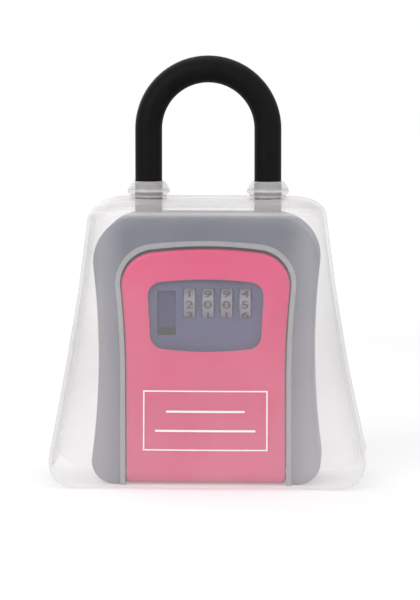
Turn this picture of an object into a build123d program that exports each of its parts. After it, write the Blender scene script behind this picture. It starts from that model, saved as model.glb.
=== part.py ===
from build123d import *
import os

# Weather hood for a hanging key lockbox, with the lockbox that it covers.
# Millimetres. +Z is up, the front faces -Y, and the lockbox stands on Z = 0.

# Lockbox body
BOX_HEIGHT = 105.0
BOX_FRONT_Y = -18.6
BOX_BACK_Y = 20.0
WAIST_HALF = 41.9
WAIST_Z = 48.0
FOOT_HALF = 46.2
SHOULDER_HALF = 46.9
SHOULDER_R = 18.0
FOOT_R = 9.0
JACKET_EDGE_R = 3.0
JACKET_BACK_WALL = 2.3

# Inner metal box, whose front rim shows as the light ring round the door
RING_FRONT_Y = -19.3
RING_HALF = 33.4
RING_FLARE_DROP = 62.2
RING_FLARE_R = 327.0
RING_CROWN = 9.5
RING_DROP = 3.7
RING_CORNER_R = 15.5
RING_WALL = 2.0
RING_EDGE_R = 0.7

# Door
DOOR_FRONT_Y = -20.0
DOOR_GAP = 0.5
DOOR_TOP_GAP = 1.2
DOOR_FOOT_GAP = 0.6
FLOOR_GAP = 0.7
DOOR_WALL = 1.8
DOOR_FACE_WALL = 2.2
DOOR_EDGE_R = 1.2
BACK_PLATE_FRONT_Y = -4.2
BACK_PLATE_WALL = 1.4

# Hinge along the door's lower edge
PIN_Y = -15.5
PIN_Z = 5.1
PIN_R = 1.5
PIN_FIT = 0.05
PRESS_FIT = 0.02
LUG_R = 3.2
LUG_LENGTH = 9.0

# Window with the combination panel
WINDOW_HALF = 22.8
WINDOW_BASE_HALF = 21.4
WINDOW_DROP = 24.4
WINDOW_HEIGHT = 28.3
WINDOW_BULGE = 1.7
WINDOW_R = 5.5
PANEL_BULGE_Y = -17.6
PANEL_BARREL_R = 58.0
PANEL_WALL = 2.0
PANEL_FLANGE = 1.6

# Number dials
DIAL_COUNT = 4
DIAL_PITCH = 7.2
DIAL_FIRST_X = -6.3
DIAL_DROP = 34.2
DIAL_Y = -12.9
DIAL_R = 6.9
DIAL_WIDTH = 4.4
DIAL_FACES = 10
DIAL_GROOVE_R = 0.45
DIAL_EDGE = 0.3
DIAL_SLOT_GAP = 0.3
AXLE_R = 1.2
HUB_R = 3.3
HUB_BOSS_R = 2.2
HUB_BOSS = 1.2
HUB_GATE = 0.6
HUB_GATE_WIDTH = 1.4
EAR_WALL = 1.8
EAR_GAP = 0.3
EAR_HALF = 2.6
COMB_WALL = 0.4
COMB_GAP = 0.2
COMB_FINGER = 3.0
COMB_RISE = 1.1
COMB_BACK_Y = -8.6
COMB_BASE = 1.8
LEDGE_WALL = 1.2

# Opening slider and latch
SLIDER_X = -15.3
SLIDER_WIDTH = 6.8
SLIDER_LENGTH = 13.0
SLIDER_DROP = 35.8
SLIDER_FLANGE = 1.2
SLIDER_FLANGE_Y = -14.3
SLIDER_LIP = 1.4
SLIDER_STEM = 5.0
SLIDER_FRONT_Y = -19.2
SLIDER_GAP = 0.25
SLIDER_TRAVEL = 4.0
SLIDER_RIBS = 5
SLIDER_RIB = 0.9
LATCH_WALL = 1.2
LATCH_HEIGHT = 19.0
LATCH_DROP = 28.5
LATCH_HALF = 20.0
LATCH_GAP = 0.2
HOOK_IN_X = 27.0
HOOK_OUT_X = 30.0
HOOK_ARM = 3.0
HOOK_NOSE = 3.4
HOOK_NOSE_WALL = 2.0
STRIKE_FRONT_Y = -1.6
STRIKE_WALL = 1.8
STRIKE_PLAY = 0.4
STRIKE_DROP = 1.0
STRIKE_LENGTH = 8.0
FENCE_WALL = 0.8
FENCE_HEIGHT = 4.0
FENCE_TIP_Y = -13.7
FENCE_GAP = 0.3

# Shackle
LEG_X = 23.4
LEG_Y = 3.0
ROD_R = 4.0
SLEEVE_R = 5.3
ARCH_RISE = 33.0
LEG_END_DROP = 24.4
TIP_CHAMFER = 0.8
SOCKET_FIT = 0.08
SLEEVE_END_GAP = 0.3

# Shackle lock inside the top of the box
BLOCK_DROP = 18.2
BLOCK_FRONT_Y = -2.2
PLATE_WALL = 2.2
PLATE_HALF = 29.0
PLATE_DEPTH = 10.4
PLATE_TRAVEL = 2.0
PLATE_GAP = 0.2
PLATE_END_CHAMFER = 0.9
BLOCK_FIT = 0.05
NOTCH_DEPTH = 2.2
COVER_WALL = 1.6
COVER_GAP = 0.6
BUTTON_WIDTH = 9.0
BUTTON_DEPTH = 6.0
BUTTON_DROP = 3.0
SPRING_R = 0.85
SPRING_WIRE_R = 0.2
SPRING_TURNS = 5
SPRING_GAP = 0.05
PLATE_SPRING = 2.2
LATCH_SPRING = 8.6
LATCH_SPRING_X = -12.0
SHELF_WALL = 1.0
COVER_SCREW_X = 18.0
SCREW_R = 1.25
SCREW_LENGTH = 6.0
SCREW_HEAD_R = 2.3
SCREW_SLOT = 0.7

# Code reset lever on the back of the door
LEVER_X = 5.0
LEVER_DROP = 61.0
LEVER_WIDTH = 6.0
LEVER_HEIGHT = 4.0
LEVER_TRAVEL = 3.0
LEVER_GAP = 0.25
LEVER_STAND = 1.4
LEVER_FLANGE = 1.2
LEVER_LIP = 1.2
POST_R = 3.0
LOW_POST = (24.0, 14.0)
MIDDLE_POST_X = 24.0
MIDDLE_POST_DROP = 59.5
TOP_POST_X = 20.0
TOP_POST_DROP = 19.2

# Hood
HOOD_WALL = 1.5
HOOD_HEADROOM = 6.0
HOOD_RIM_Z = 0.4
HOOD_TOP_HALF_X = 45.6
HOOD_TOP_HALF_Y = 23.4
HOOD_MID_HALF_X = 53.8
HOOD_MID_HALF_Y = 27.4
HOOD_MID_Z = 50.0
HOOD_RIM_HALF_X = 62.6
HOOD_RIM_HALF_Y = 31.6
HOOD_TOP_CORNER_R = 9.0
HOOD_MID_CORNER_R = 10.5
HOOD_RIM_CORNER_R = 12.0
HOOD_TOP_EDGE_R = 5.0
HOOD_SKIRT_R = 11.5
COLLAR_BORE_GAP = 0.2
COLLAR_WALL = 0.9
BEAD_R = 8.0
BEAD_TOP_R = 6.5
NECK_HEIGHT = 2.2
BEAD_UNDERSIDE = 0.6
BEAD_HEIGHT = 3.5
SEAT_R = 7.0

os.makedirs("parts", exist_ok=True)

dial_xs = [DIAL_FIRST_X + DIAL_PITCH * i for i in range(DIAL_COUNT)]
legs = [(-LEG_X, LEG_Y), (LEG_X, LEG_Y)]
ring_top_z = BOX_HEIGHT - RING_CROWN
ring_flare_z = BOX_HEIGHT - RING_FLARE_DROP
window_top_z = BOX_HEIGHT - WINDOW_DROP
window_base_z = window_top_z - WINDOW_HEIGHT
dial_z = BOX_HEIGHT - DIAL_DROP
slider_z = BOX_HEIGHT - SLIDER_DROP
latch_top_z = BOX_HEIGHT - LATCH_DROP
latch_base_z = latch_top_z - LATCH_HEIGHT
lever_z = BOX_HEIGHT - LEVER_DROP
arch_z = BOX_HEIGHT + ARCH_RISE
leg_end_z = BOX_HEIGHT - LEG_END_DROP
block_base_z = BOX_HEIGHT - BLOCK_DROP
hood_top_z = BOX_HEIGHT + HOOD_HEADROOM
bead_base_z = hood_top_z + NECK_HEIGHT
bead_wide_z = bead_base_z + BEAD_UNDERSIDE
bead_top_z = bead_wide_z + BEAD_HEIGHT
jacket_inner_back_y = BOX_BACK_Y - JACKET_BACK_WALL
box_inner_back_y = jacket_inner_back_y - RING_WALL
door_inner_y = DOOR_FRONT_Y + DOOR_FACE_WALL
door_inset = RING_WALL + DOOR_GAP
door_drop = DOOR_TOP_GAP - DOOR_GAP
door_foot_drop = door_inset - DOOR_FOOT_GAP
plate_top_z = block_base_z - PLATE_GAP
plate_base_z = plate_top_z - PLATE_WALL
cover_top_z = leg_end_z - COVER_GAP
rail_front_y = LEG_Y + PLATE_DEPTH / 2 + PLATE_GAP * 2
latch_back_y = BACK_PLATE_FRONT_Y - LATCH_GAP
latch_front_y = latch_back_y - LATCH_WALL
arm_base_z = latch_top_z - HOOK_ARM
strike_top_z = arm_base_z - HOOK_NOSE - STRIKE_DROP
post_places = [
    LOW_POST,
    (MIDDLE_POST_X, BOX_HEIGHT - MIDDLE_POST_DROP),
    (TOP_POST_X, BOX_HEIGHT - TOP_POST_DROP),
]
posts = [(side * x, z) for x, z in post_places for side in (-1, 1)]
back_plate_back_y = BACK_PLATE_FRONT_Y + BACK_PLATE_WALL
floor_front_y = back_plate_back_y + FLOOR_GAP
cover_base_z = cover_top_z - COVER_WALL
cover_screw_y = (rail_front_y + box_inner_back_y) / 2
cover_screws = [
    Plane(origin=(x, cover_screw_y, cover_base_z), z_dir=(0, 0, -1))
    for x in (-COVER_SCREW_X, 0, COVER_SCREW_X)
]
back_plate_screws_at = [
    Plane(origin=(x, back_plate_back_y, z), x_dir=(1, 0, 0), z_dir=(0, 1, 0)) for x, z in posts
]
panel_z = (window_top_z + window_base_z) / 2
panel_edge_y = PANEL_BULGE_Y + (window_top_z - panel_z) ** 2 / (2 * PANEL_BARREL_R) + PANEL_WALL
ledge_z = dial_z + DIAL_R + COMB_GAP + COMB_RISE + COMB_WALL
ear_left_x = dial_xs[0] - DIAL_WIDTH / 2 - HUB_BOSS - EAR_GAP - EAR_WALL
ear_right_x = dial_xs[-1] + DIAL_WIDTH / 2 + EAR_GAP


def at_depth(y):
    """The upright plane at depth y: its own x is X, its own y is Z, and it faces the front."""
    return Plane.XZ.offset(-y)


def block(x, y, z, mode=Mode.ADD):
    """A box between two values along each axis."""
    with Locations(((x[0] + x[1]) / 2, (y[0] + y[1]) / 2, (z[0] + z[1]) / 2)):
        return Box(abs(x[1] - x[0]), abs(y[1] - y[0]), abs(z[1] - z[0]), mode=mode)


def rod_along_x(radius, x, y, z, mode=Mode.ADD):
    """A cylinder along X, between two values of x, centred on y and z."""
    with Locations(((x[0] + x[1]) / 2, y, z)):
        return Cylinder(radius, abs(x[1] - x[0]), rotation=(0, 90, 0), mode=mode)


def countersunk_screw():
    """A screw whose flat head is level with the place it is driven at."""
    top = (Align.CENTER, Align.CENTER, Align.MAX)
    Cone(SCREW_R, SCREW_HEAD_R, SCREW_HEAD_R - SCREW_R, align=top)
    Cylinder(SCREW_R, SCREW_LENGTH, align=top)
    with Locations((0, 0, 0)):
        Box(SCREW_HEAD_R, SCREW_SLOT, SCREW_SLOT, align=top, mode=Mode.SUBTRACT)
        Box(SCREW_SLOT, SCREW_HEAD_R, SCREW_SLOT, align=top, mode=Mode.SUBTRACT)


def coil_spring(start, direction, length):
    """A coil of round wire that climbs from start along direction."""
    climb = length - 2 * SPRING_WIRE_R
    with BuildPart() as coil:
        with BuildLine():
            turns = Helix(
                pitch=climb / SPRING_TURNS,
                height=climb,
                radius=SPRING_R,
                center=start + direction * SPRING_WIRE_R,
                direction=direction,
            )
        with BuildSketch(Plane(origin=turns @ 0, z_dir=turns % 0)):
            Circle(SPRING_WIRE_R)
        sweep(path=turns, is_frenet=True)
    return coil.part


def save(part, name):
    part.label = name
    export_step(part, f"parts/{name}.step")


def arch_face(y, inset, top_drop=0.0, foot_drop=0.0):
    """The arched outline of the inner box, drawn in by inset, with its top and foot lowered."""
    half = RING_HALF - inset
    foot_z = inset - foot_drop
    top_z = ring_top_z - inset - top_drop
    corner_z = top_z - RING_DROP
    corner_x = half + (corner_z - ring_flare_z) ** 2 / (2 * RING_FLARE_R)
    mid_z = (corner_z + ring_flare_z) / 2
    mid_x = half + (mid_z - ring_flare_z) ** 2 / (2 * RING_FLARE_R)
    with BuildSketch(at_depth(y)) as outline:
        with BuildLine():
            Line((-half, foot_z), (half, foot_z))
            Line((half, foot_z), (half, ring_flare_z))
            ThreePointArc((half, ring_flare_z), (mid_x, mid_z), (corner_x, corner_z))
            ThreePointArc((corner_x, corner_z), (0, top_z), (-corner_x, corner_z))
            ThreePointArc((-corner_x, corner_z), (-mid_x, mid_z), (-half, ring_flare_z))
            Line((-half, ring_flare_z), (-half, foot_z))
        make_face()
        corners = [v for v in outline.vertices() if abs(v.Y - corner_z) < RING_WALL / 2]
        fillet(corners, RING_CORNER_R - inset)
    return outline.sketch


def jacket_face(y):
    """The waisted outline of the lockbox."""
    foot = (FOOT_HALF, 0)
    waist = (WAIST_HALF, WAIST_Z)
    shoulder = (SHOULDER_HALF, BOX_HEIGHT)
    with BuildSketch(at_depth(y)) as outline:
        with BuildLine():
            Line((-foot[0], foot[1]), foot)
            ThreePointArc(foot, waist, shoulder)
            Line(shoulder, (-shoulder[0], shoulder[1]))
            ThreePointArc((-shoulder[0], shoulder[1]), (-waist[0], waist[1]), (-foot[0], foot[1]))
        make_face()
        fillet(outline.vertices().group_by(Axis.Y)[-1], SHOULDER_R)
        fillet(outline.vertices().group_by(Axis.Y)[0], FOOT_R)
    return outline.sketch


def window_face(y, grow=0.0):
    """The window in the door: leaning straight sides, bowed top and bottom, round corners."""
    top = (WINDOW_HALF + grow, window_top_z + grow - WINDOW_BULGE)
    base = (WINDOW_BASE_HALF + grow, window_base_z - grow + WINDOW_BULGE)
    with BuildSketch(at_depth(y)) as outline:
        with BuildLine():
            ThreePointArc((-base[0], base[1]), (0, window_base_z - grow), base)
            Line(base, top)
            ThreePointArc(top, (0, window_top_z + grow), (-top[0], top[1]))
            Line((-top[0], top[1]), (-base[0], base[1]))
        make_face()
        fillet(outline.vertices(), WINDOW_R + grow)
    return outline.sketch


# Outer jacket: a moulded bumper pushed over the metal box from above and behind
with BuildPart() as outer_jacket:
    extrude(jacket_face(BOX_BACK_Y), amount=BOX_BACK_Y - BOX_FRONT_Y)
    fillet(outer_jacket.faces().sort_by(Axis.Y)[0].edges(), JACKET_EDGE_R)
    fillet(outer_jacket.faces().sort_by(Axis.Y)[-1].edges(), JACKET_EDGE_R)
    extrude(
        arch_face(jacket_inner_back_y, 0),
        amount=jacket_inner_back_y - DOOR_FRONT_Y,
        mode=Mode.SUBTRACT,
    )
    with Locations(*[(x, y, BOX_HEIGHT) for x, y in legs]):
        Cylinder(ROD_R + SOCKET_FIT, BOX_HEIGHT, mode=Mode.SUBTRACT)
save(outer_jacket.part, "outer_jacket")

# Inner box: the cast metal tub, with strike ribs for the latch hooks and holes for the legs
with BuildPart() as inner_box:
    extrude(arch_face(jacket_inner_back_y, 0), amount=jacket_inner_back_y - RING_FRONT_Y)
    extrude(
        arch_face(box_inner_back_y, RING_WALL),
        amount=box_inner_back_y - DOOR_FRONT_Y,
        mode=Mode.SUBTRACT,
    )
    rim = inner_box.faces().sort_by(Axis.Y)[0].outer_wire().edges()
    fillet(rim.filter_by(lambda edge: edge.center().Z > RING_EDGE_R), RING_EDGE_R)
    with Locations(*[(x, y, ring_top_z) for x, y in legs]):
        Cylinder(ROD_R + SOCKET_FIT, RING_CORNER_R, mode=Mode.SUBTRACT)
    rod_along_x(PIN_R + PRESS_FIT, (-RING_HALF, RING_HALF), PIN_Y, PIN_Z, mode=Mode.SUBTRACT)
    block(
        (RING_WALL - RING_HALF, RING_HALF - RING_WALL), (RING_FRONT_Y, floor_front_y),
        (0, RING_WALL), mode=Mode.SUBTRACT,
    )
    for side in (-1, 1):
        block(
            (side * HOOK_IN_X, side * (RING_HALF - RING_WALL / 2)),
            (STRIKE_FRONT_Y, STRIKE_FRONT_Y + STRIKE_WALL),
            (strike_top_z - STRIKE_LENGTH, strike_top_z),
        )
save(inner_box.part, "inner_box")

# Hinge pin: a steel rod across the foot of the door, held in the walls of the box
with BuildPart() as hinge_pin:
    rod_along_x(PIN_R, (-RING_HALF, RING_HALF), PIN_Y, PIN_Z)
save(hinge_pin.part, "hinge_pin")

# Shackle block: the solid piece under the arch that guides both legs, with a rail behind
with BuildPart() as shackle_block:
    extrude(
        arch_face(box_inner_back_y, RING_WALL + BLOCK_FIT),
        amount=box_inner_back_y - BLOCK_FRONT_Y,
    )
    block(
        (-SHOULDER_HALF, SHOULDER_HALF), (BLOCK_FRONT_Y, BOX_BACK_Y), (0, cover_top_z),
        mode=Mode.SUBTRACT,
    )
    block(
        (-SHOULDER_HALF, SHOULDER_HALF), (BLOCK_FRONT_Y, rail_front_y), (cover_top_z, block_base_z),
        mode=Mode.SUBTRACT,
    )
    with Locations(*[(x, y, ring_top_z) for x, y in legs]):
        Cylinder(ROD_R + SOCKET_FIT, ring_top_z, mode=Mode.SUBTRACT)
    with Locations(*cover_screws):
        Hole(SCREW_R + PRESS_FIT, SCREW_LENGTH)
save(shackle_block.part, "shackle_block")

# Lock plate: slides sideways under the block, and its square holes catch the leg notches
hole_half = ROD_R + PLATE_GAP
with BuildPart() as shackle_lock_plate:
    block(
        (-PLATE_HALF, PLATE_HALF),
        (LEG_Y - PLATE_DEPTH / 2, LEG_Y + PLATE_DEPTH / 2),
        (plate_base_z, plate_top_z),
    )
    fillet(shackle_lock_plate.edges().filter_by(Axis.Z), PLATE_WALL / 2)
    plate_top = shackle_lock_plate.faces().sort_by(Axis.Z)[-1]
    chamfer(plate_top.edges().filter_by(Axis.Y), PLATE_END_CHAMFER)
    for x, y in legs:
        block(
            (x - hole_half, x + hole_half), (y - hole_half, y + hole_half),
            (plate_base_z, plate_top_z), mode=Mode.SUBTRACT,
        )
save(shackle_lock_plate.part, "shackle_lock_plate")

# Release button: hangs from the lock plate through the slot in the cover
with BuildPart() as shackle_release_button:
    block(
        (-BUTTON_WIDTH / 2, BUTTON_WIDTH / 2),
        (LEG_Y - BUTTON_DEPTH / 2, LEG_Y + BUTTON_DEPTH / 2),
        (cover_base_z - BUTTON_DROP, plate_base_z),
    )
    fillet(shackle_release_button.faces().sort_by(Axis.Z)[0].edges(), LEVER_STAND / 2)
save(shackle_release_button.part, "shackle_release_button")

# Cover plate under the shackle lock, with a slot for the button
with BuildPart() as lock_cover:
    extrude(
        arch_face(box_inner_back_y, RING_WALL + BLOCK_FIT),
        amount=box_inner_back_y - BLOCK_FRONT_Y,
    )
    block(
        (-SHOULDER_HALF, SHOULDER_HALF), (BLOCK_FRONT_Y, BOX_BACK_Y),
        (0, cover_base_z), mode=Mode.SUBTRACT,
    )
    block(
        (-SHOULDER_HALF, SHOULDER_HALF), (BLOCK_FRONT_Y, BOX_BACK_Y),
        (cover_top_z, BOX_HEIGHT), mode=Mode.SUBTRACT,
    )
    block(
        (-BUTTON_WIDTH / 2 - PLATE_TRAVEL - PLATE_GAP, BUTTON_WIDTH / 2 + PLATE_GAP),
        (LEG_Y - BUTTON_DEPTH / 2 - PLATE_GAP, LEG_Y + BUTTON_DEPTH / 2 + PLATE_GAP),
        (0, cover_top_z), mode=Mode.SUBTRACT,
    )
    with Locations(*cover_screws):
        CounterSinkHole(SCREW_R + PRESS_FIT, SCREW_HEAD_R + PRESS_FIT, COVER_WALL, 90)
save(lock_cover.part, "lock_cover")

# Screws that hold the lock cover to the rail of the shackle block
with BuildPart() as lock_cover_screws:
    with Locations(*cover_screws):
        countersunk_screw()
save(lock_cover_screws.part, "lock_cover_screws")

# Spring that pushes the lock plate into the leg notches
lock_spring_start = Vector(
    PLATE_HALF + SPRING_GAP, LEG_Y, (plate_base_z + plate_top_z) / 2
)
save(coil_spring(lock_spring_start, Vector(1, 0, 0), PLATE_SPRING), "lock_plate_spring")

# Shackle rod: bent steel bar with a locking notch in the outer side of each leg tip
with BuildPart() as shackle_rod:
    with BuildLine() as rod_path:
        Line((-LEG_X, LEG_Y, leg_end_z), (-LEG_X, LEG_Y, arch_z))
        ThreePointArc((-LEG_X, LEG_Y, arch_z), (0, LEG_Y, arch_z + LEG_X), (LEG_X, LEG_Y, arch_z))
        Line((LEG_X, LEG_Y, arch_z), (LEG_X, LEG_Y, leg_end_z))
    with BuildSketch(Plane.XY.offset(leg_end_z)):
        with Locations((-LEG_X, LEG_Y)):
            Circle(ROD_R)
    sweep(path=rod_path.line)
    chamfer(shackle_rod.faces().filter_by(Axis.Z).group_by(Axis.Z)[0].edges(), TIP_CHAMFER)
    for x, y in legs:
        block(
            (x + ROD_R - NOTCH_DEPTH, x + ROD_R), (y - ROD_R, y + ROD_R),
            (plate_base_z - PLATE_GAP, plate_top_z + PLATE_GAP), mode=Mode.SUBTRACT,
        )
save(shackle_rod.part, "shackle_rod")

# Shackle sleeve: soft tube over the rod, so that it does not mark a door handle
sleeve_base_z = BOX_HEIGHT + SLEEVE_END_GAP
with BuildPart() as shackle_sleeve:
    with BuildLine() as sleeve_path:
        Line((-LEG_X, LEG_Y, sleeve_base_z), (-LEG_X, LEG_Y, arch_z))
        ThreePointArc((-LEG_X, LEG_Y, arch_z), (0, LEG_Y, arch_z + LEG_X), (LEG_X, LEG_Y, arch_z))
        Line((LEG_X, LEG_Y, arch_z), (LEG_X, LEG_Y, sleeve_base_z))
    with BuildSketch(Plane.XY.offset(sleeve_base_z)):
        with Locations((-LEG_X, LEG_Y)):
            Circle(SLEEVE_R)
            Circle(ROD_R + PRESS_FIT, mode=Mode.SUBTRACT)
    sweep(path=sleeve_path.line)
save(shackle_sleeve.part, "shackle_sleeve")

# Door: a moulded tray with the window in its face, screw posts and two hinge lugs
with BuildPart() as door_shell:
    extrude(
        arch_face(BACK_PLATE_FRONT_Y, door_inset, door_drop, door_foot_drop),
        amount=BACK_PLATE_FRONT_Y - DOOR_FRONT_Y,
    )
    door_edges = door_shell.faces().sort_by(Axis.Y)[0].outer_wire().edges()
    fillet(door_edges.sort_by(Axis.Z)[0], PIN_Z - DOOR_FOOT_GAP - PIN_FIT)
    front = door_shell.faces().filter_by(Axis.Y).sort_by(Axis.Y)[0].outer_wire().edges()
    fillet(front.filter_by(lambda edge: edge.center().Z > PIN_Z), DOOR_EDGE_R)
    extrude(
        arch_face(BACK_PLATE_FRONT_Y, door_inset + DOOR_WALL, door_drop, door_foot_drop),
        amount=BACK_PLATE_FRONT_Y - door_inner_y,
        mode=Mode.SUBTRACT,
    )
    with BuildSketch(at_depth(BACK_PLATE_FRONT_Y)):
        with Locations(*posts):
            Circle(POST_R)
    extrude(amount=BACK_PLATE_FRONT_Y - door_inner_y)
    for side in (-1, 1):
        wall_x = side * (RING_HALF - door_inset - DOOR_WALL / 2)
        rod_along_x(LUG_R, (wall_x, wall_x - side * LUG_LENGTH), PIN_Y, PIN_Z)
    rod_along_x(PIN_R + PIN_FIT, (-RING_HALF, RING_HALF), PIN_Y, PIN_Z, mode=Mode.SUBTRACT)
    extrude(window_face(BACK_PLATE_FRONT_Y), amount=BOX_BACK_Y, mode=Mode.SUBTRACT)
    with Locations(*back_plate_screws_at):
        Hole(SCREW_R + PRESS_FIT, SCREW_LENGTH)
save(door_shell.part, "door_shell")

# Dial panel: a barrel-faced plate behind the window, with ears that carry the dial axle
with BuildPart() as dial_panel:
    extrude(window_face(panel_edge_y), amount=panel_edge_y - door_inner_y)
    barrel_y = PANEL_BULGE_Y + PANEL_BARREL_R
    with Locations((0, barrel_y, panel_z)):
        Cylinder(PANEL_BARREL_R, BOX_HEIGHT, rotation=(0, 90, 0), mode=Mode.INTERSECT)
        Cylinder(
            PANEL_BARREL_R - PANEL_WALL, BOX_HEIGHT, rotation=(0, 90, 0), mode=Mode.SUBTRACT
        )
    with BuildSketch(at_depth(panel_edge_y)):
        add(window_face(0, PANEL_FLANGE).moved(Location((0, panel_edge_y, 0))))
        add(window_face(0).moved(Location((0, panel_edge_y, 0))), mode=Mode.SUBTRACT)
    extrude(amount=panel_edge_y - door_inner_y)
    for ear_x in (ear_left_x, ear_right_x):
        block(
            (ear_x, ear_x + EAR_WALL), (PANEL_BULGE_Y + PANEL_WALL / 2, DIAL_Y + EAR_HALF),
            (dial_z - EAR_HALF, dial_z + EAR_HALF),
        )
    block(
        (ear_left_x, ear_right_x + EAR_WALL), (panel_edge_y, COMB_BACK_Y),
        (ledge_z, ledge_z + LEDGE_WALL),
    )
    for x in dial_xs:
        half = DIAL_WIDTH / 2 + DIAL_SLOT_GAP
        rod_along_x(DIAL_R + DIAL_SLOT_GAP, (x - half, x + half), DIAL_Y, dial_z,
                    mode=Mode.SUBTRACT)
    rod_along_x(AXLE_R + PRESS_FIT, (ear_left_x, ear_right_x + EAR_WALL), DIAL_Y, dial_z,
                mode=Mode.SUBTRACT)
    block(
        (SLIDER_X - SLIDER_WIDTH / 2 - SLIDER_GAP, SLIDER_X + SLIDER_WIDTH / 2 + SLIDER_GAP),
        (DOOR_FRONT_Y, SLIDER_FLANGE_Y + SLIDER_GAP),
        (slider_z - SLIDER_LENGTH / 2 - SLIDER_TRAVEL - SLIDER_GAP,
         slider_z + SLIDER_LENGTH / 2 + SLIDER_GAP),
        mode=Mode.SUBTRACT,
    )
save(dial_panel.part, "dial_panel")

# Dial axle
with BuildPart() as dial_axle:
    rod_along_x(AXLE_R, (ear_left_x, ear_right_x + EAR_WALL), DIAL_Y, dial_z)
save(dial_axle.part, "dial_axle")

# Number dials, each on its own code hub
for number, x in enumerate(dial_xs, start=1):
    left_x = x - DIAL_WIDTH / 2
    right_x = x + DIAL_WIDTH / 2
    with BuildPart() as dial:
        rod_along_x(DIAL_R, (left_x, right_x), DIAL_Y, dial_z)
        chamfer(dial.edges().filter_by(GeomType.CIRCLE), DIAL_EDGE)
        rod_along_x(HUB_R + PRESS_FIT, (left_x, right_x), DIAL_Y, dial_z, mode=Mode.SUBTRACT)
        with Locations(Plane(origin=(x, DIAL_Y, dial_z), x_dir=(0, 0, 1), z_dir=(1, 0, 0))):
            with PolarLocations(DIAL_R, DIAL_FACES, start_angle=180 / DIAL_FACES):
                Cylinder(DIAL_GROOVE_R, DIAL_WIDTH * 2, mode=Mode.SUBTRACT)
    save(dial.part, f"dial_{number}")
    with BuildPart() as code_hub:
        rod_along_x(HUB_R, (left_x, right_x), DIAL_Y, dial_z)
        rod_along_x(HUB_BOSS_R, (left_x - HUB_BOSS, left_x), DIAL_Y, dial_z)
        rod_along_x(
            AXLE_R + PIN_FIT, (left_x - HUB_BOSS, right_x), DIAL_Y, dial_z, mode=Mode.SUBTRACT
        )
        block(
            (left_x - HUB_BOSS, left_x),
            (DIAL_Y - HUB_GATE_WIDTH / 2, DIAL_Y + HUB_GATE_WIDTH / 2),
            (dial_z - HUB_BOSS_R, dial_z - HUB_BOSS_R + HUB_GATE),
            mode=Mode.SUBTRACT,
        )
    save(code_hub.part, f"code_hub_{number}")

# Detent comb: a thin spring sheet whose fingers settle the dials on a number
comb_base_z = ledge_z - COMB_WALL
with BuildPart() as detent_comb:
    block(
        (ear_left_x, ear_right_x + EAR_WALL), (COMB_BACK_Y - COMB_BASE, COMB_BACK_Y),
        (comb_base_z, ledge_z),
    )
    for x in dial_xs:
        with BuildSketch(Plane.YZ.offset(x - COMB_FINGER / 2)):
            with BuildLine():
                Polyline(
                    (COMB_BACK_Y - COMB_BASE / 2, comb_base_z + COMB_WALL / 2),
                    (COMB_BACK_Y - COMB_BASE, comb_base_z + COMB_WALL / 2),
                    (DIAL_Y, dial_z + DIAL_R + COMB_GAP + COMB_WALL / 2),
                    (DIAL_Y - COMB_RISE, dial_z + DIAL_R + COMB_GAP + COMB_WALL),
                )
            trace(line_width=COMB_WALL)
        extrude(amount=COMB_FINGER)
save(detent_comb.part, "detent_comb")

# Opening slider: the ribbed button in the panel, with the stem that moves the latch
slider_low_z = slider_z - SLIDER_LENGTH / 2
slider_high_z = slider_z + SLIDER_LENGTH / 2
slider_sides = (SLIDER_X - SLIDER_WIDTH / 2, SLIDER_X + SLIDER_WIDTH / 2)
with BuildPart() as open_slider:
    block(slider_sides, (SLIDER_FRONT_Y, SLIDER_FLANGE_Y + SLIDER_GAP * 2),
          (slider_low_z, slider_high_z))
    fillet(open_slider.faces().sort_by(Axis.Y)[0].edges(), SLIDER_RIB / 2)
    with GridLocations(1, SLIDER_LENGTH / (SLIDER_RIBS + 1), 1, SLIDER_RIBS) as grooves:
        groove_zs = [spot.position.Y + slider_z for spot in grooves]
    for z in groove_zs:
        rod_along_x(SLIDER_RIB / 2, slider_sides, SLIDER_FRONT_Y, z, mode=Mode.SUBTRACT)
    flange_y = SLIDER_FLANGE_Y + SLIDER_GAP * 2
    block(slider_sides, (flange_y, flange_y + SLIDER_FLANGE),
          (slider_low_z - SLIDER_LIP, slider_high_z + SLIDER_LIP))
    block(
        (SLIDER_X - SLIDER_STEM / 2, SLIDER_X + SLIDER_STEM / 2),
        (flange_y, latch_front_y),
        (slider_z - SLIDER_STEM / 2, slider_z + SLIDER_STEM / 2),
    )
save(open_slider.part, "open_slider")

# Latch plate: carries two hooks to the back and a fence arm below each code hub
hook_tip_y = STRIKE_FRONT_Y + STRIKE_WALL + STRIKE_PLAY + HOOK_NOSE_WALL
with BuildPart() as latch_plate:
    block((-LATCH_HALF, LATCH_HALF), (latch_front_y, latch_back_y), (latch_base_z, latch_top_z))
    block((-HOOK_OUT_X, HOOK_OUT_X), (latch_front_y, latch_back_y), (arm_base_z, latch_top_z))
    for side in (-1, 1):
        hook_x = (side * HOOK_IN_X, side * HOOK_OUT_X)
        block(hook_x, (latch_front_y, hook_tip_y), (arm_base_z, latch_top_z))
        block(hook_x, (hook_tip_y - HOOK_NOSE_WALL, hook_tip_y),
              (arm_base_z - HOOK_NOSE, latch_top_z))
    fence_top_z = dial_z - HUB_BOSS_R - FENCE_GAP
    for x in dial_xs:
        boss_x = x - DIAL_WIDTH / 2 - HUB_BOSS / 2
        block(
            (boss_x - FENCE_WALL / 2, boss_x + FENCE_WALL / 2), (FENCE_TIP_Y, latch_back_y),
            (fence_top_z - FENCE_HEIGHT, fence_top_z),
        )
save(latch_plate.part, "latch_plate")

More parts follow.
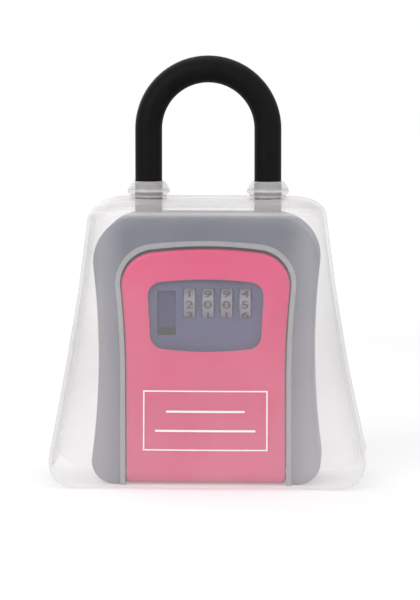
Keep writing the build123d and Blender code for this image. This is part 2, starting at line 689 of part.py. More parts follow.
# Back plate of the door, with slots for the hooks and the reset lever, and a spring shelf
shelf_z = latch_base_z - LATCH_SPRING - SPRING_GAP * 2
with BuildPart() as back_plate:
    extrude(arch_face(back_plate_back_y, door_inset, door_drop), amount=BACK_PLATE_WALL)
    block(
        (LATCH_SPRING_X - SPRING_R * 2, LATCH_SPRING_X + SPRING_R * 2),
        (BACK_PLATE_FRONT_Y - SPRING_R * 3.5, back_plate_back_y), (shelf_z - SHELF_WALL, shelf_z),
    )
    for side in (-1, 1):
        block(
            (side * (HOOK_IN_X - SLIDER_GAP), side * (HOOK_OUT_X + SLIDER_GAP)),
            (BACK_PLATE_FRONT_Y, back_plate_back_y),
            (arm_base_z - HOOK_NOSE - SLIDER_TRAVEL, latch_top_z + SLIDER_GAP),
            mode=Mode.SUBTRACT,
        )
    block(
        (LEVER_X - LEVER_WIDTH / 2 - LEVER_GAP, LEVER_X + LEVER_WIDTH / 2 + LEVER_TRAVEL + LEVER_GAP),
        (BACK_PLATE_FRONT_Y, back_plate_back_y),
        (lever_z - LEVER_HEIGHT / 2 - LEVER_GAP, lever_z + LEVER_HEIGHT / 2 + LEVER_GAP),
        mode=Mode.SUBTRACT,
    )
    with Locations(*back_plate_screws_at):
        CounterSinkHole(SCREW_R + PRESS_FIT, SCREW_HEAD_R + PRESS_FIT, BACK_PLATE_WALL, 90)
save(back_plate.part, "back_plate")

with BuildPart() as back_plate_screws:
    with Locations(*back_plate_screws_at):
        countersunk_screw()
save(back_plate_screws.part, "back_plate_screws")

# Spring that pulls the latch down into its locked place
latch_spring_start = Vector(LATCH_SPRING_X, BACK_PLATE_FRONT_Y - SPRING_R * 2, shelf_z)
save(coil_spring(latch_spring_start, Vector(0, 0, 1), LATCH_SPRING), "latch_spring")

# Code reset lever: slides sideways in the back plate
lever_sides = (LEVER_X - LEVER_WIDTH / 2, LEVER_X + LEVER_WIDTH / 2)
lever_heights = (lever_z - LEVER_HEIGHT / 2, lever_z + LEVER_HEIGHT / 2)
with BuildPart() as code_reset_lever:
    block(lever_sides, (BACK_PLATE_FRONT_Y - LEVER_GAP, back_plate_back_y + LEVER_STAND),
          lever_heights)
    fillet(code_reset_lever.faces().sort_by(Axis.Y)[-1].edges(), LEVER_STAND / 2)
    block(
        (lever_sides[0] - LEVER_LIP, lever_sides[1] + LEVER_LIP),
        (BACK_PLATE_FRONT_Y - LEVER_GAP - LEVER_FLANGE, BACK_PLATE_FRONT_Y - LEVER_GAP),
        (lever_heights[0] - LEVER_LIP, lever_heights[1] + LEVER_LIP),
    )
save(code_reset_lever.part, "code_reset_lever")

# Hood: one soft translucent moulding, a flared bell with two collars that grip the legs
collar_bore_r = SLEEVE_R + COLLAR_BORE_GAP
collar_r = collar_bore_r + COLLAR_WALL
hood_under_z = hood_top_z - HOOD_WALL


def hood_body(inset, top_z, edge_r):
    """The flared bell as a solid, drawn in by inset on every side and closed at top_z."""
    sections = [
        (HOOD_RIM_Z, HOOD_RIM_HALF_X, HOOD_RIM_HALF_Y, HOOD_RIM_CORNER_R),
        (HOOD_MID_Z, HOOD_MID_HALF_X, HOOD_MID_HALF_Y, HOOD_MID_CORNER_R),
        (top_z, HOOD_TOP_HALF_X, HOOD_TOP_HALF_Y, HOOD_TOP_CORNER_R),
    ]
    with BuildPart() as body:
        for z, half_x, half_y, corner_r in sections:
            with BuildSketch(Plane.XY.offset(z)):
                RectangleRounded((half_x - inset) * 2, (half_y - inset) * 2, corner_r - inset)
        loft()
        fillet(body.faces().sort_by(Axis.Z)[-1].edges(), edge_r)
    return body.part


with BuildPart() as protector_hood:
    add(hood_body(0, hood_top_z, HOOD_TOP_EDGE_R))
    add(hood_body(HOOD_WALL, hood_under_z, HOOD_TOP_EDGE_R - HOOD_WALL), mode=Mode.SUBTRACT)
    with BuildSketch(at_depth(HOOD_RIM_HALF_Y)) as skirt:
        with Locations((0, HOOD_RIM_Z)):
            Rectangle(HOOD_RIM_HALF_X * 2, hood_top_z, align=(Align.CENTER, Align.MIN))
        fillet(skirt.vertices().group_by(Axis.Y)[0], HOOD_SKIRT_R)
    extrude(amount=HOOD_RIM_HALF_Y * 2, mode=Mode.INTERSECT)
    for x, y in legs:
        with BuildSketch(Plane(origin=(x, y, 0), x_dir=(1, 0, 0), z_dir=(0, -1, 0))):
            with BuildLine():
                Polyline(
                    (0, BOX_HEIGHT),
                    (SEAT_R, BOX_HEIGHT),
                    (SEAT_R, hood_under_z),
                    (collar_r, hood_top_z),
                    (collar_r, bead_base_z),
                    (BEAD_R, bead_wide_z),
                    (BEAD_TOP_R, bead_top_z),
                    (0, bead_top_z),
                    close=True,
                )
            make_face()
        revolve(axis=Axis((x, y, 0), (0, 0, 1)))
    with Locations(*[(x, y, hood_top_z) for x, y in legs]):
        Cylinder(collar_bore_r, BOX_HEIGHT / 2, mode=Mode.SUBTRACT)
save(protector_hood.part, "protector_hood")
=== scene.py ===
"""A hanging key lockbox under its translucent weather hood, dressed for the camera.

Metres, in the part's own frame: +Z is up and the front faces -Y.
"""

import math

import bmesh
import bpy
import numpy as np
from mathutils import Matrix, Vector


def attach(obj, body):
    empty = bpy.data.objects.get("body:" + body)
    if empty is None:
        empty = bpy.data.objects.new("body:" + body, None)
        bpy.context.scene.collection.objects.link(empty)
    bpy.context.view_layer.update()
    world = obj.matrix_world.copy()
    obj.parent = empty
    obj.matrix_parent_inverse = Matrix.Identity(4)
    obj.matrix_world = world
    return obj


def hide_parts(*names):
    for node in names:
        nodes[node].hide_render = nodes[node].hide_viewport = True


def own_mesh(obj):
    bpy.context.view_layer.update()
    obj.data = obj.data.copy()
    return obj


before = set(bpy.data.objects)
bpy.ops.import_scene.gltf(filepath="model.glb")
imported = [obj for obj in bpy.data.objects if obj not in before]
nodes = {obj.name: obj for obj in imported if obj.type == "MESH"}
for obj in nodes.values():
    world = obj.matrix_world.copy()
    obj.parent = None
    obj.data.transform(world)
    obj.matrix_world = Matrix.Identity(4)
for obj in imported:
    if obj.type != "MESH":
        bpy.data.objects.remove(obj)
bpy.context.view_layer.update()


# The camera stands well back and a little to the right, and looks slightly down.
# Its lens gives 0.393 mm a pixel at the object's middle depth.
azimuth, elevation, distance = math.radians(2.6), math.radians(5.2), 1.4
metres_per_pixel, picture_height = 0.000393, 600
target = Vector((0.00083, 0.0, 0.07083))
back = Vector((
    math.sin(azimuth) * math.cos(elevation),
    -math.cos(azimuth) * math.cos(elevation),
    math.sin(elevation),
))
camera_data = bpy.data.cameras.new("camera")
camera_data.sensor_width = 36.0
camera_data.lens = camera_data.sensor_width * distance / (picture_height * metres_per_pixel)
camera_data.clip_end = 20.0
camera = bpy.data.objects.new("camera", camera_data)
camera.location = target + back * distance
camera.rotation_mode = "QUATERNION"
camera.rotation_quaternion = (-back).to_track_quat("-Z", "Y")
bpy.context.scene.collection.objects.link(camera)
bpy.context.scene.camera = camera


# Plain soft light from four large square panels and a pale even world.
# The world is white only to the camera and to reflections.
def soft_panel(name, place, size, watts):
    """A square area lamp at place, turned to the middle of the object."""
    data = bpy.data.lights.new(name, "AREA")
    data.shape = "SQUARE"
    data.size = size
    data.energy = watts
    lamp = bpy.data.objects.new(name, data)
    lamp.location = place
    lamp.rotation_mode = "QUATERNION"
    lamp.rotation_quaternion = (Vector((0, 0, 0.07)) - Vector(place)).to_track_quat("-Z", "Y")
    bpy.context.scene.collection.objects.link(lamp)


def maths(tree, operation, *terms):
    """A maths node of one operation over terms, each a number or another node's output."""
    node = tree.nodes.new("ShaderNodeMath")
    node.operation = operation
    for place, term in enumerate(terms):
        if isinstance(term, (int, float)):
            node.inputs[place].default_value = term
        else:
            tree.links.new(term, node.inputs[place])
    return node.outputs[0]


def value_ramp(tree, source, low, high, at_low=0.0, at_high=1.0):
    """source mapped from low..high to at_low..at_high."""
    node = tree.nodes.new("ShaderNodeMapRange")
    node.inputs["From Min"].default_value = low
    node.inputs["From Max"].default_value = high
    node.inputs["To Min"].default_value = at_low
    node.inputs["To Max"].default_value = at_high
    tree.links.new(source, node.inputs["Value"])
    return node.outputs["Result"]


soft_panel("key", (-0.55, -0.95, 0.62), 0.8, 6.0)
soft_panel("fill", (0.9, -0.7, 0.40), 0.9, 3.5)
soft_panel("top", (0.0, 0.15, 1.1), 0.9, 3.1)
soft_panel("rim", (-0.5, 0.8, 0.5), 0.7, 2.0)

world = bpy.data.worlds.new("studio")
world.use_nodes = True
bpy.context.scene.world = world
tree = world.node_tree
rays = tree.nodes.new("ShaderNodeLightPath")
seen = maths(tree, "MAXIMUM", rays.outputs["Is Camera Ray"], rays.outputs["Is Transmission Ray"])
seen_or_mirrored = maths(tree, "MAXIMUM", seen, rays.outputs["Is Glossy Ray"])
background = tree.nodes["Background"]
background.inputs["Color"].default_value = (1, 1, 1, 1)
tree.links.new(value_ramp(tree, seen_or_mirrored, 0.0, 1.0, 0.46, 1.0), background.inputs["Strength"])


# A broad matt pale floor that keeps the object's shadow. It glows a little to the camera
# alone, and more with distance, where the lamps reach it less.
def new_material(name):
    """A node material, returned with its tree and its Principled shader."""
    material = bpy.data.materials.new(name)
    material.use_nodes = True
    tree = material.node_tree
    return material, tree, tree.nodes["Principled BSDF"]


def mesh_piece(name, points, faces, smooth=True):
    """A mesh object from points and faces, with doubles merged and its normals turned outwards."""
    mesh = bpy.data.meshes.new(name)
    mesh.from_pydata(np.asarray(points, dtype=float).tolist(), [], [[int(i) for i in f] for f in faces])
    work = bmesh.new()
    work.from_mesh(mesh)
    bmesh.ops.remove_doubles(work, verts=work.verts, dist=1e-7)
    bmesh.ops.recalc_face_normals(work, faces=work.faces)
    work.to_mesh(mesh)
    work.free()
    piece = bpy.data.objects.new(name, mesh)
    bpy.context.scene.collection.objects.link(piece)
    mesh.polygons.foreach_set("use_smooth", [smooth] * len(mesh.polygons))
    return piece


floor_half = 3.0
floor_corners = floor_half * np.array([(-1, -1, 0), (1, -1, 0), (1, 1, 0), (-1, 1, 0)])
floor = mesh_piece("floor", floor_corners, [(0, 1, 2, 3)])
floor_material, tree, shader = new_material("floor_white")
shader.inputs["Base Color"].default_value = (0.80, 0.80, 0.80, 1)
shader.inputs["Roughness"].default_value = 0.9
shader.inputs["Specular IOR Level"].default_value = 0.1
shader.inputs["Emission Color"].default_value = (1, 1, 1, 1)
rays = tree.nodes.new("ShaderNodeLightPath")
seen = maths(tree, "MAXIMUM", rays.outputs["Is Camera Ray"], rays.outputs["Is Transmission Ray"])
coords = tree.nodes.new("ShaderNodeTexCoord")
away = tree.nodes.new("ShaderNodeVectorMath")
away.operation = "LENGTH"
tree.links.new(coords.outputs["Object"], away.inputs[0])
glow = value_ramp(tree, away.outputs["Value"], 0.55, 1.30, 0.27, 0.62)
tree.links.new(maths(tree, "MULTIPLY", seen, glow), shader.inputs["Emission Strength"])
floor.data.materials.append(floor_material)


# The hood is one thin flexible moulding, milky and see-through: a flat roof with a soft
# shoulder, walls that lean outwards to a curled rim, and rounded lower corners.
# Two round openings in its roof let the shackle's legs through.
skin = 0.0014
roof_z = 0.111
rim_z = 0.0004
corner_radius = 0.0115
half_heights = [rim_z, 0.010, 0.030, 0.050, 0.075, roof_z]
leg_centres = [(-0.0234, 0.003), (0.0234, 0.003)]
ring_points = 192


def hood_half_x(z):
    """Half the bell's width at height z: straight lines through the roof, the waist and the rim."""
    return np.interp(z, half_heights, [0.0622, 0.0613, 0.0577, 0.0541, 0.0501, 0.0455])


def hood_half_y(z):
    """Half the bell's depth at height z: straight lines through the roof, the waist and the rim."""
    return np.interp(z, half_heights, [0.0314, 0.0309, 0.0291, 0.0274, 0.0254, 0.0234])


def rounded_ring(half_x, half_y, corner, z):
    """Points round a rectangle with round corners, the same count and order at every height.

    A corner is its centre plus corner times (cos, sin) of an angle that sweeps a quarter
    turn. A side runs evenly from one corner's end to the next one's start. Each takes an
    eighth of the points, so that rings at different heights line up into columns.
    """
    share = ring_points // 8
    centres = np.array([(1, -1), (1, 1), (-1, 1), (-1, -1)]) * np.array([half_x - corner, half_y - corner])
    first = np.radians(-90 + 90 * np.arange(4))
    angles = first[:, None] + np.radians(90) * np.arange(share) / (share - 1)
    arcs = centres[:, None] + corner * np.stack([np.cos(angles), np.sin(angles)], axis=-1)
    last = first + np.radians(90)
    outwards = corner * np.stack([np.cos(last), np.sin(last)], axis=-1)
    here, there = centres + outwards, np.roll(centres, -1, axis=0) + outwards
    along = (np.arange(share) + 1) / (share + 1)
    sides = here[:, None] + (there - here)[:, None] * along[:, None]
    ring = np.concatenate([arcs, sides], axis=1).reshape(-1, 2)
    return np.column_stack([ring, np.full(len(ring), z)])


def hood_surface(inset):
    """Rings of the bell from the rim to the roof, drawn in by inset.

    Each ring is a rounded rectangle of the bell's half sizes at its height. Near the roof
    the rings follow a quarter ellipse inwards, the shoulder, wider at the sides than at the
    front, and then close over the roof, which dips by half a sine wave.
    """
    drop, pull_x, pull_y = 0.0070 - inset, 0.0105 - inset, 0.0050 - inset
    corner = corner_radius - inset
    top = roof_z - inset
    rings = [
        rounded_ring(hood_half_x(z) - inset, hood_half_y(z) - inset, corner, z)
        for z in np.linspace(rim_z, top - drop, 72)
    ]
    shoulder_steps, roof_steps, roof_dip = 10, 7, 0.0004
    for angle in np.radians(90) * np.arange(1, shoulder_steps + 1) / shoulder_steps:
        inwards = 1 - math.cos(angle)
        z = top - drop + drop * math.sin(angle)
        half_x = hood_half_x(z) - inset - pull_x * inwards
        half_y = hood_half_y(z) - inset - pull_y * inwards
        rings.append(rounded_ring(half_x, half_y, corner - 0.002 * inwards, z))
    edge = rings[-1]
    for share in np.arange(1, roof_steps + 1) / roof_steps:
        ring = edge * (1 - share)
        ring[:, 2] = top - roof_dip * math.sin(math.pi * share)
        rings.append(ring)
    return np.array(rings)


def soften(points):
    """The bell's hand-made look, on points of its plain form.

    The lower corners rise by a quarter circle, and a risen point takes the bell's half
    sizes at its new height. The front and back swell, the rim waves, and the right wall
    flares a little more than the left. Everything fades out towards the roof.
    """
    x, y, z = points[..., 0].copy(), points[..., 1].copy(), points[..., 2].copy()
    low = np.clip(1 - z / 0.1, 0, 1)
    across = np.clip(np.abs(x) / 0.0622, 0, 1)
    over = np.clip((np.abs(x) - (hood_half_x(z) - corner_radius)) / corner_radius, 0, 1)
    share = np.clip(1 - (z - rim_z) / 0.030, 0, 1) ** 1.6
    risen = z + corner_radius * (1 - np.sqrt(1 - over ** 2)) * share
    risen += 0.0002 * share * np.clip(1 - (x / 0.05) ** 2, 0, 1)
    risen += 0.0003 * share * (0.5 - 0.5 * np.cos(x * 110 + 0.6))
    x *= hood_half_x(risen) / hood_half_x(z)
    y *= hood_half_y(risen) / hood_half_y(z)
    x += 0.0016 * np.clip(x / 0.06, 0, 1) * np.clip(1 - risen / 0.045, 0, 1) ** 1.3
    y += np.sign(y) * 0.0007 * low * (1 - across ** 2)
    y += np.sign(y) * 0.0005 * low ** 2 * np.sin(x * 95 + 1.3)
    return np.stack([x, y, risen], axis=-1)


def grid_faces(rows, columns, closed):
    """Quads over a grid of rows by columns of points, joined round each row if closed."""
    row = columns * np.arange(rows - 1)[:, None]
    here = np.arange(columns if closed else columns - 1)
    after = (here + 1) % columns
    corners = [row + here, row + after, row + columns + after, row + columns + here]
    return np.stack(corners, axis=-1).reshape(-1, 4)


def object_noise(tree, scale, detail=4.0, roughness=0.55, stretch=(1, 1, 1)):
    """Noise over the object's own coordinates, stretched by a factor along each axis."""
    coords = tree.nodes.new("ShaderNodeTexCoord")
    mapping = tree.nodes.new("ShaderNodeMapping")
    mapping.inputs["Scale"].default_value = stretch
    noise = tree.nodes.new("ShaderNodeTexNoise")
    noise.inputs["Scale"].default_value = scale
    noise.inputs["Detail"].default_value = detail
    noise.inputs["Roughness"].default_value = roughness
    tree.links.new(coords.outputs["Object"], mapping.inputs["Vector"])
    tree.links.new(mapping.outputs["Vector"], noise.inputs["Vector"])
    return noise.outputs["Fac"]


def object_axes(tree):
    """The object's own X, Y and Z at each point, as outputs by name."""
    coords = tree.nodes.new("ShaderNodeTexCoord")
    split = tree.nodes.new("ShaderNodeSeparateXYZ")
    tree.links.new(coords.outputs["Object"], split.inputs["Vector"])
    return split.outputs


def ramp(tree, source, stops):
    """A colour ramp over source, with (position, colour) stops."""
    node = tree.nodes.new("ShaderNodeValToRGB")
    elements = node.color_ramp.elements
    while len(elements) < len(stops):
        elements.new(0.5)
    for element, (position, colour) in zip(elements, stops):
        element.position = position
        element.color = (*colour, 1.0)
    tree.links.new(source, node.inputs["Fac"])
    return node.outputs["Color"]


def two_tones(tree, source, low_colour, high_colour, high=0.7):
    """A ramp between two near tones over the middle of a noise."""
    return ramp(tree, source, [(0.3, low_colour), (high, high_colour)])


def grey_ramp(tree, source, stops):
    """A ramp of plain values over source, with (position, value) stops."""
    return ramp(tree, source, [(position, (value,) * 3) for position, value in stops])


def bump(tree, shader, source, depth, strength=1.0, below=None):
    """A bump of source, in metres, on the shader's normal, over an earlier bump if one is given."""
    node = tree.nodes.new("ShaderNodeBump")
    node.inputs["Distance"].default_value = depth
    node.inputs["Strength"].default_value = strength
    tree.links.new(source, node.inputs["Height"])
    if below is not None:
        tree.links.new(below, node.inputs["Normal"])
    tree.links.new(node.outputs["Normal"], shader.inputs["Normal"])
    return node.outputs["Normal"]


outer = soften(hood_surface(0.0))
inner = soften(hood_surface(skin))
shell_faces = grid_faces(*outer.shape[:2], True)
inner_start = outer.shape[0] * outer.shape[1]
column = np.arange(ring_points)
beside = (column + 1) % ring_points
rim_faces = np.stack([inner_start + column, inner_start + beside, beside, column], axis=-1)
hood_skin = mesh_piece(
    "hood_skin",
    np.concatenate([outer.reshape(-1, 3), inner.reshape(-1, 3)]),
    np.concatenate([shell_faces, inner_start + shell_faces[:, ::-1], rim_faces]),
)
opening_radius, opening_depth = 0.00695, 0.012
for leg_x, leg_y in leg_centres:
    bpy.ops.mesh.primitive_cylinder_add(
        vertices=64, radius=opening_radius, depth=opening_depth, location=(leg_x, leg_y, roof_z),
    )
    cutter = bpy.context.object
    cut = hood_skin.modifiers.new("opening", "BOOLEAN")
    cut.operation = "DIFFERENCE"
    cut.object = cutter
    bpy.context.view_layer.update()
    shaped = hood_skin.evaluated_get(bpy.context.evaluated_depsgraph_get())
    opened = bpy.data.meshes.new_from_object(shaped)
    hood_skin.modifiers.clear()
    hood_skin.data = opened
    bpy.data.objects.remove(cutter)

hood_material, tree, shader = new_material("hood_translucent")
shader.inputs["Roughness"].default_value = 0.32
shader.inputs["Specular IOR Level"].default_value = 0.45
shader.inputs["Coat Weight"].default_value = 0.12
shader.inputs["Coat Roughness"].default_value = 0.25
cloud = object_noise(tree, 26.0, 3.0)
tint = two_tones(tree, cloud, (0.83, 0.795, 0.80), (0.90, 0.86, 0.865))
tree.links.new(tint, shader.inputs["Base Color"])
axes = object_axes(tree)
# The haze by height, thicker low down. Narrow thick white bands at the foot of the shoulder and at the roof's
# edge, where it is thickest, are painted highlight lines. Then the haze changes by the distance from the
# middle, by a slow cloud, and by how steeply the wall turns away.
haze_and_painted_highlights = grey_ramp(tree, value_ramp(tree, axes["Z"], 0.0, 0.12), [
    (0.0, 0.145), (0.25, 0.125), (0.45, 0.115), (0.6, 0.09), (0.83, 0.06), (0.868, 0.09), (0.878, 0.18),
    (0.8825, 0.31), (0.8875, 0.31), (0.892, 0.19), (0.917, 0.22), (0.9215, 0.40), (0.9255, 0.27),
])
off_centre = value_ramp(tree, maths(tree, "ABSOLUTE", axes["X"]), 0.031, 0.040, 0.0, 0.10)
blotch = value_ramp(tree, cloud, 0.3, 0.7, -0.012, 0.012)
haze = maths(tree, "ADD", maths(tree, "ADD", haze_and_painted_highlights, off_centre), blotch)
grazing = tree.nodes.new("ShaderNodeLayerWeight")
grazing.inputs["Blend"].default_value = 0.5
edge = maths(tree, "POWER", grazing.outputs["Facing"], 3.0)
thick = maths(tree, "MULTIPLY_ADD", edge, 0.26, haze)
# The low rim of the back wall is clearer than the rest, and the film shades less than it hides.
behind = value_ramp(tree, axes["Y"], -0.010, 0.012)
low_rim = value_ramp(tree, axes["Z"], 0.002, 0.036, 0.65, 0.0)
kept_share = maths(tree, "SUBTRACT", 1.0, maths(tree, "MULTIPLY", behind, low_rim))
rays = tree.nodes.new("ShaderNodeLightPath")
shading_share = value_ramp(tree, rays.outputs["Is Shadow Ray"], 0.0, 1.0, 1.0, 0.3)
film = maths(tree, "MULTIPLY", maths(tree, "MULTIPLY", thick, kept_share), shading_share)
tree.links.new(film, shader.inputs["Alpha"])
ripple = bump(tree, shader, object_noise(tree, 40.0, 2.0, 0.4), 0.0004, 0.4)
bump(tree, shader, object_noise(tree, 900.0, 2.0, 0.5), 0.00003, 0.4, ripple)
hood_skin.data.materials.append(hood_material)
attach(hood_skin, "hood")
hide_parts("protector_hood")
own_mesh(hood_skin)


# Two moulded collars grip the shackle legs: a short neck, a wide bead with a sloping
# top, and a seat tube below the roof that stands on the lockbox.
def turned(profile, centre, count=64):
    """A closed ring of revolution: the profile's (radius, height) points turned about a leg."""
    radius, height = np.array(profile).T[:, :, None]
    angles = np.linspace(0, 2 * math.pi, count, endpoint=False)
    x = centre[0] + radius * np.cos(angles)
    y = centre[1] + radius * np.sin(angles)
    rings = np.stack([x, y, np.broadcast_to(height, x.shape)], axis=-1)
    return np.concatenate([rings, rings[:1]])


collar_profile = [
    (0.00552, 0.1052), (0.00552, 0.1172), (0.0057, 0.1175), (0.0061, 0.1175), (0.0067, 0.1171),
    (0.0074, 0.1161), (0.0080, 0.1148), (0.0084, 0.1137), (0.0084, 0.1132), (0.0081, 0.1127),
    (0.0074, 0.1123), (0.0071, 0.1119), (0.0072, 0.1114), (0.0075, 0.11105), (0.0070, 0.1102),
    (0.0069, 0.1075), (0.0069, 0.1056), (0.0066, 0.1052),
]
collars = np.array([turned(collar_profile, centre) for centre in leg_centres])
one_collar = grid_faces(*collars.shape[1:3], True)
hood_collars = mesh_piece(
    "hood_collars",
    collars.reshape(-1, 3),
    np.concatenate([one_collar, one_collar + collars[0].size // 3]),
)
collar_material, tree, shader = new_material("collar_translucent")
shader.inputs["Roughness"].default_value = 0.25
shader.inputs["Specular IOR Level"].default_value = 0.55
shader.inputs["Coat Weight"].default_value = 0.2
tint = two_tones(tree, object_noise(tree, 90.0, 2.0), (0.74, 0.72, 0.71), (0.82, 0.80, 0.79))
tree.links.new(tint, shader.inputs["Base Color"])
# The collar is hazier above its neck. Narrow thick white bands under the bead, round its widest edge and at
# its top are painted highlight lines.
haze_and_painted_highlights = grey_ramp(tree, value_ramp(tree, object_axes(tree)["Z"], 0.105, 0.118), [
    (0.0, 0.10), (0.44, 0.10), (0.52, 0.46), (0.58, 0.30), (0.63, 0.32), (0.68, 0.66),
    (0.73, 0.36), (0.80, 0.32), (0.93, 0.36), (0.97, 0.66),
])
tree.links.new(haze_and_painted_highlights, shader.inputs["Alpha"])
bump(tree, shader, object_noise(tree, 300.0, 2.0, 0.5), 0.0001, 0.4)
hood_collars.data.materials.append(collar_material)
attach(hood_collars, "hood")


# A plain white print low on the hood's front: a thin square-cornered frame with two ruled
# lines. It lies on the skin's outer face and follows its lean.
def front_face(x, z):
    """The depth of the hood's front face at (x, z), just proud of the skin."""
    return soften(np.stack([x, -hood_half_y(z), z], axis=-1))[..., 1] - 0.00006


def strip(x0, x1, z0, z1):
    """A thin bar of the print between two corners, as its points and faces.

    A grid of points about 1.5 mm apart lies on the front face, a second one lies one ink
    thickness behind it, and a band of quads closes the two all round.
    """
    spacing, ink_thickness = 0.0015, 0.00005
    steps_x = max(2, int((x1 - x0) / spacing) + 1)
    steps_z = max(2, int((z1 - z0) / spacing) + 1)
    x, z = np.meshgrid(np.linspace(x0, x1, steps_x), np.linspace(z0, z1, steps_z))
    depth = front_face(x, z)
    layers = [np.stack([x, depth + set_back, z], axis=-1) for set_back in (0.0, ink_thickness)]
    order = np.arange(steps_x * steps_z).reshape(steps_z, steps_x)
    rim = np.concatenate([order[0], order[1:, -1], order[-1, -2::-1], order[-2:0:-1, 0]])
    following = np.roll(rim, -1)
    face = grid_faces(steps_z, steps_x, False)
    band = np.stack([rim, following, order.size + following, order.size + rim], axis=-1)
    return np.array(layers).reshape(-1, 3), np.concatenate([face, order.size + face[:, ::-1], band])


left, right, low, high, line = -0.0237, 0.0244, 0.0152, 0.0383, 0.0005
print_points, print_faces = [], []
for corners in [
    (left, right, low, low + line),
    (left, right, high - line, high),
    (left, left + line, low + line, high - line),
    (right - line, right, low + line, high - line),
    (-0.0148, 0.0155, 0.0298, 0.0306),
    (-0.0190, 0.0197, 0.0224, 0.0232),
]:
    bar_points, bar_faces = strip(*corners)
    print_faces.append(bar_faces + sum(len(p) for p in print_points))
    print_points.append(bar_points)
hood_print = mesh_piece("hood_print", np.concatenate(print_points), np.concatenate(print_faces), smooth=False)
print_material, tree, shader = new_material("print_white")
ink = object_noise(tree, 700.0, 3.0)
tree.links.new(two_tones(tree, ink, (0.90, 0.90, 0.90), (0.97, 0.97, 0.97)), shader.inputs["Base Color"])
shader.inputs["Roughness"].default_value = 0.5
bump(tree, shader, ink, 0.00001, 0.3)
hood_print.data.materials.append(print_material)
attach(hood_print, "hood")
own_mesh(hood_print)


# The moulded outer body: a matt grey elastomer with a fine spark-eroded grain.
# Its colour drifts a little from place to place.
def dress(node, material):
    """Gives a CAD node one material."""
    shown = nodes[node]
    shown.data.materials.clear()
    shown.data.materials.append(material)


jacket_material, tree, shader = new_material("jacket_elastomer")
shader.inputs["Roughness"].default_value = 0.72
shader.inputs["Specular IOR Level"].default_value = 0.35
shader.inputs["Sheen Weight"].default_value = 0.15
shade = two_tones(tree, object_noise(tree, 18.0, 4.0), (0.118, 0.132, 0.172), (0.150, 0.166, 0.212))
tree.links.new(shade, shader.inputs["Base Color"])
grain = bump(tree, shader, object_noise(tree, 1600.0, 3.0, 0.6), 0.00006, 0.5)
bump(tree, shader, object_noise(tree, 60.0, 2.0), 0.00015, 0.25, grain)
dress("outer_jacket", jacket_material)


# Light grey powder coat on the inner box, bare die-cast metal on the shackle block and
# cover, ground steel on the plates and pins, drawn wire springs, black oxide on the
# latch plate, and turned brass on the code hubs.
def metal(name, low_colour, high_colour, roughness, metallic, scale, stretch=(1, 1, 1), depth=0.00002):
    """A metal finish: colour between two tones, streaks along the stretch, and a fine bump."""
    material, tree, shader = new_material(name)
    shader.inputs["Metallic"].default_value = metallic
    streak = object_noise(tree, scale, 4.0, 0.6, stretch)
    tree.links.new(two_tones(tree, streak, low_colour, high_colour), shader.inputs["Base Color"])
    tree.links.new(value_ramp(tree, streak, 0.3, 0.7, roughness, roughness + 0.12), shader.inputs["Roughness"])
    bump(tree, shader, streak, depth, 0.4)
    return material


powder_coat = metal("powder_coat", (0.30, 0.305, 0.32), (0.35, 0.355, 0.37), 0.48, 0.0, 700.0, depth=0.00004)
ground_steel = metal("ground_steel", (0.50, 0.51, 0.53), (0.66, 0.67, 0.69), 0.26, 1.0, 220.0, (1, 1, 12))
cast_zinc = metal("cast_zinc", (0.42, 0.43, 0.45), (0.54, 0.55, 0.56), 0.42, 1.0, 420.0, depth=0.00005)
turned_brass = metal("turned_brass", (0.58, 0.42, 0.16), (0.72, 0.55, 0.25), 0.28, 1.0, 300.0, (14, 1, 1))
spring_steel = metal("spring_steel", (0.40, 0.41, 0.43), (0.55, 0.56, 0.58), 0.30, 1.0, 600.0)
plated_screw = metal("plated_screw", (0.60, 0.59, 0.55), (0.74, 0.72, 0.66), 0.25, 1.0, 350.0)
black_oxide = metal("black_oxide", (0.018, 0.020, 0.030), (0.030, 0.032, 0.045), 0.45, 0.6, 500.0)
dress("inner_box", powder_coat)
dress("latch_plate", black_oxide)
dress("shackle_block", cast_zinc)
dress("lock_cover", cast_zinc)
for node in ("hinge_pin", "shackle_rod", "shackle_lock_plate", "dial_axle"):
    dress(node, ground_steel)
for node in ("lock_plate_spring", "latch_spring", "detent_comb"):
    dress(node, spring_steel)
for node in ("lock_cover_screws", "back_plate_screws"):
    dress(node, plated_screw)
for number in range(1, 5):
    dress(f"code_hub_{number}", turned_brass)


# A matt black vinyl tube drawn over the bar, with faint lengthwise rub and fine grain.
# It is nearly black, and shows mostly by its dull shine.
sleeve_material, tree, shader = new_material("sleeve_vinyl")
shader.inputs["Specular IOR Level"].default_value = 0.085
rub = object_noise(tree, 240.0, 3.0, 0.55, (1, 1, 0.25))
black = two_tones(tree, rub, (0.0026, 0.0026, 0.0029), (0.0052, 0.0052, 0.0057), high=0.75)
tree.links.new(black, shader.inputs["Base Color"])
tree.links.new(value_ramp(tree, rub, 0.3, 0.7, 0.46, 0.58), shader.inputs["Roughness"])
bump(tree, shader, object_noise(tree, 1500.0, 3.0), 0.00003, 0.4)
dress("shackle_sleeve", sleeve_material)


# The door is a crimson moulded shell with a satin skin: a slow drift in colour and a
# very fine texture. The code lever inside it is moulded in the same plastic.
door_material, tree, shader = new_material("door_crimson")
shader.inputs["Specular IOR Level"].default_value = 0.5
shader.inputs["Coat Weight"].default_value = 0.08
shader.inputs["Coat Roughness"].default_value = 0.3
drift = object_noise(tree, 22.0, 3.0)
crimson = two_tones(tree, drift, (0.70, 0.012, 0.142), (0.77, 0.016, 0.166))
tree.links.new(crimson, shader.inputs["Base Color"])
tree.links.new(value_ramp(tree, drift, 0.3, 0.7, 0.36, 0.46), shader.inputs["Roughness"])
bump(tree, shader, object_noise(tree, 1300.0, 2.0), 0.00002, 0.35)
dress("door_shell", door_material)
dress("code_reset_lever", door_material)


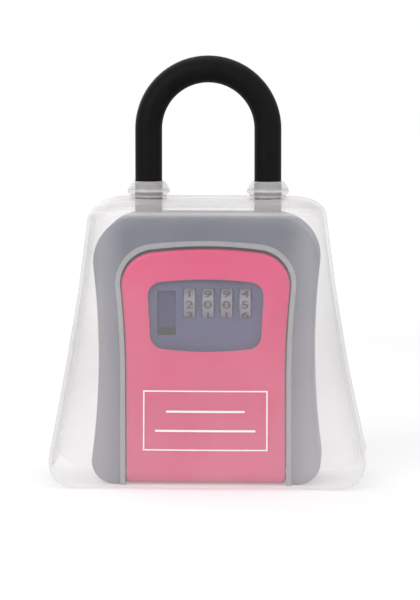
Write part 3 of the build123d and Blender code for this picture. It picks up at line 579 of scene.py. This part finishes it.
# The slate panel and its darker slider are moulded plastic with a satin texture, and so
# are the black back plate and release button. The number wheels are pale grey.
def moulded(name, low_colour, high_colour, roughness, grain=1400.0, depth=0.00003):
    """A moulded plastic finish: two near tones, an even gloss, and a fine grain."""
    material, tree, shader = new_material(name)
    drift = object_noise(tree, 60.0, 3.0)
    tree.links.new(two_tones(tree, drift, low_colour, high_colour), shader.inputs["Base Color"])
    tree.links.new(value_ramp(tree, drift, 0.3, 0.7, roughness, roughness + 0.08), shader.inputs["Roughness"])
    bump(tree, shader, object_noise(tree, grain, 2.0), depth, 0.4)
    return material


panel_material = moulded("panel_slate", (0.038, 0.044, 0.150), (0.050, 0.056, 0.180), 0.34)
slider_material = moulded("slider_dark", (0.006, 0.013, 0.100), (0.011, 0.018, 0.125), 0.5)
plate_material = moulded("plate_black", (0.018, 0.018, 0.020), (0.028, 0.028, 0.030), 0.55)
dial_material = moulded("dial_ivory", (0.21, 0.205, 0.25), (0.26, 0.255, 0.31), 0.38, 900.0)
dress("dial_panel", panel_material)
dress("open_slider", slider_material)
dress("back_plate", plate_material)
dress("shackle_release_button", plate_material)
for number in range(1, 5):
    dress(f"dial_{number}", dial_material)


# Each wheel has ten flats, with one dark number from 0 to 9 on each.
# The numbers are thin printed meshes that ride with their wheels.
number_material = moulded("number_ink", (0.030, 0.030, 0.045), (0.042, 0.042, 0.060), 0.5)
number_height, number_widening = 0.0031, 1.5
cap_height_share = 0.72


def number_mesh(text):
    """One number as a flat mesh in its own plane, centred and widened, as points and faces."""
    curve = bpy.data.curves.new("number", "FONT")
    curve.body = text
    curve.align_x = "CENTER"
    curve.align_y = "CENTER"
    curve.size = number_height / cap_height_share
    curve.resolution_u = 4
    curve.offset = 0.00007
    holder = bpy.data.objects.new("number", curve)
    bpy.context.scene.collection.objects.link(holder)
    bpy.context.view_layer.update()
    mesh = bpy.data.meshes.new_from_object(holder)
    points = np.array([tuple(v.co) for v in mesh.vertices])
    middle = (points.min(0) + points.max(0)) / 2
    points = (points - middle) * np.array([number_widening, 1.0, 1.0])
    shapes = [tuple(p.vertices) for p in mesh.polygons]
    bpy.data.objects.remove(holder)
    bpy.data.curves.remove(curve)
    bpy.data.meshes.remove(mesh)
    return points, shapes


digits = [number_mesh(str(digit)) for digit in range(10)]
shown_at_front = [2, 0, 0, 5]
dial_centres = (-0.0063, 0.0009, 0.0081, 0.0153)
axle_y, axle_z = -0.0129, 0.0708
number_radius = 0.0069 + 0.00003
for number, (dial_x, shown) in enumerate(zip(dial_centres, shown_at_front), start=1):
    wheel_points, wheel_faces = [], []
    for flat in range(10):
        points, shapes = digits[(shown + flat) % 10]
        turn = math.radians(36) * flat
        y = axle_y - number_radius * math.cos(turn) - points[:, 1] * math.sin(turn)
        z = axle_z - number_radius * math.sin(turn) + points[:, 1] * math.cos(turn)
        start = sum(len(p) for p in wheel_points)
        wheel_points.append(np.stack([dial_x + points[:, 0], y, z], axis=-1))
        wheel_faces += [[start + i for i in shape] for shape in shapes]
    ring = mesh_piece(f"dial_numbers_{number}", np.concatenate(wheel_points), wheel_faces, smooth=False)
    ring.data.materials.append(number_material)
    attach(ring, f"dial_{number}")


# Plain view.
bpy.context.scene.view_settings.view_transform = "Standard"
